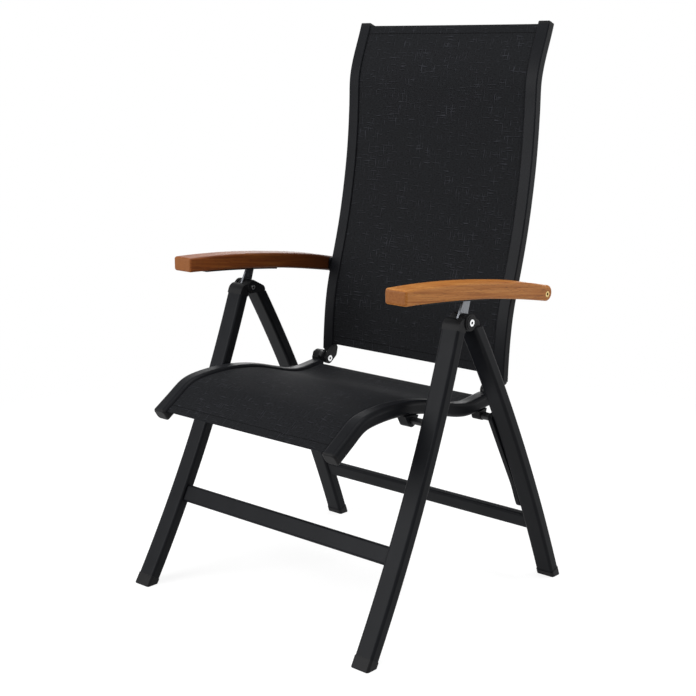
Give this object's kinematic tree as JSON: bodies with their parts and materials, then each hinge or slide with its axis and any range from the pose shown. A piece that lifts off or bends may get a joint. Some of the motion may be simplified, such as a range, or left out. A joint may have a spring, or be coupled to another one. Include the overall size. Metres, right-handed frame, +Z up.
{
  "type": "reclining garden armchair",
  "caption": "Folding high-back garden armchair: curved dark metal legs, stretched woven slings, arched wooden armrests on racks that set how far the back reclines.",
  "frame": {"origin": "on the floor under the middle of the box", "axes": "+X across the seat to the sitter's left-hand side as seen in front view right, +Y to the back, +Z up; the chair faces -Y"},
  "size_m": [0.6076, 0.6163, 1.081],
  "materials": {
    "frame_paint": "fine matt powder coat, anthracite",
    "black_plastic": "matt moulded",
    "woven_sling": "coated open weave, charcoal",
    "teak": "oiled teak, fine lengthwise grain",
    "bright_steel": "zinc plated",
    "black_steel": "blackened",
    "brass_bolt": "satin"
  },
  "bodies": {
    "front_frame": {"front_leg_left": "frame_paint", "front_leg_right": "frame_paint", "front_foot_left": "black_plastic", "front_foot_right": "black_plastic", "strut_left": "bright_steel", "strut_right": "bright_steel", "leg_head_left": "black_plastic", "leg_head_right": "black_plastic", "head_rivet_left": "bright_steel", "head_rivet_right": "bright_steel", "seat_pivot_stud_left": "black_steel", "seat_pivot_stud_right": "black_steel", "front_crossbar": "frame_paint", "strut_pins": "bright_steel"},
    "rear_frame": {"rear_leg_left": "frame_paint", "rear_leg_right": "frame_paint", "rear_foot_left": "black_plastic", "rear_foot_right": "black_plastic", "rear_leg_cap_left": "black_plastic", "rear_leg_cap_right": "black_plastic", "slide_rail_left": "frame_paint", "slide_rail_right": "frame_paint", "rear_crossbar": "frame_paint"},
    "seat": {"seat_rail_left": "frame_paint", "seat_rail_right": "frame_paint", "seat_front_cap_left": "black_plastic", "seat_front_cap_right": "black_plastic", "seat_pivot_bracket_left": "frame_paint", "seat_pivot_bracket_right": "frame_paint", "seat_slide_bracket_left": "black_plastic", "seat_slide_bracket_right": "black_plastic", "seat_slide_pin_left": "black_steel", "seat_slide_pin_right": "black_steel", "seat_hinge_lug_left": "black_plastic", "seat_hinge_lug_right": "black_plastic", "seat_sling": "woven_sling", "seat_spreader_front": "frame_paint", "seat_spreader_rear": "frame_paint"},
    "hinge_links": {"back_hinge_pin_left": "bright_steel", "back_hinge_pin_right": "bright_steel", "hinge_link_left": "black_steel", "hinge_link_right": "black_steel"},
    "back": {"back_rail_left": "frame_paint", "back_rail_right": "frame_paint", "back_top_cap_left": "black_plastic", "back_top_cap_right": "black_plastic", "back_knuckle_left": "black_plastic", "back_knuckle_right": "black_plastic", "arm_bracket_left": "frame_paint", "arm_bracket_right": "frame_paint", "back_sling": "woven_sling", "back_spreader_low": "frame_paint", "back_spreader_middle": "frame_paint", "back_spreader_top": "frame_paint"},
    "arm_bolt_left": {"arm_bolt_left": "brass_bolt"},
    "arm_bolt_right": {"arm_bolt_right": "brass_bolt"},
    "armrest_left": {"armrest_left": "teak", "arm_rack_left": "black_plastic"},
    "armrest_right": {"armrest_right": "teak", "arm_rack_right": "black_plastic"}
  },
  "joints": [
    {"name": "fold", "type": "hinge", "parent": "front_frame", "child": "rear_frame", "pos_m": [0, -0.01835, 0.559], "axis": [-1, 0, 0], "range_deg": [0, 46]},
    {"name": "seat_fold", "type": "hinge", "parent": "front_frame", "child": "seat", "pos_m": [0, -0.10149, 0.387], "axis": [-1, 0, 0], "range_deg": [0, 87.4]},
    {"name": "back_fold", "type": "hinge", "parent": "seat", "child": "hinge_links", "pos_m": [0, 0.1415, 0.39904], "axis": [1, 0, 0], "range_deg": [0, 82.8]},
    {"name": "recline", "type": "hinge", "parent": "hinge_links", "child": "back", "pos_m": [0, 0.1515, 0.39104], "axis": [-1, 0, 0], "range_deg": [0, 30]},
    {"name": "arm_level_left", "type": "hinge", "parent": "back", "child": "arm_bolt_left", "pos_m": [0, 0.22798, 0.576], "axis": [1, 0, 0], "range_deg": [0, 20.4]},
    {"name": "arm_fold_left", "type": "hinge", "parent": "arm_bolt_left", "child": "armrest_left", "pos_m": [0, 0.22798, 0.576], "axis": [-1, 0, 0], "range_deg": [0, 96.6]},
    {"name": "arm_level_right", "type": "hinge", "parent": "back", "child": "arm_bolt_right", "pos_m": [0, 0.22798, 0.576], "axis": [1, 0, 0], "range_deg": [0, 20.4]},
    {"name": "arm_fold_right", "type": "hinge", "parent": "arm_bolt_right", "child": "armrest_right", "pos_m": [0, 0.22798, 0.576], "axis": [-1, 0, 0], "range_deg": [0, 96.6]}
  ],
  "couplings": [
    {"joint": "seat_fold", "follows": "fold", "ratio": 1.9},
    {"joint": "back_fold", "follows": "fold", "ratio": 1.8},
    {"joint": "arm_level_left", "follows": "recline", "ratio": 0.68},
    {"joint": "arm_fold_left", "follows": "fold", "ratio": 2.1},
    {"joint": "arm_level_right", "follows": "recline", "ratio": 0.68},
    {"joint": "arm_fold_right", "follows": "fold", "ratio": 2.1}
  ]
}
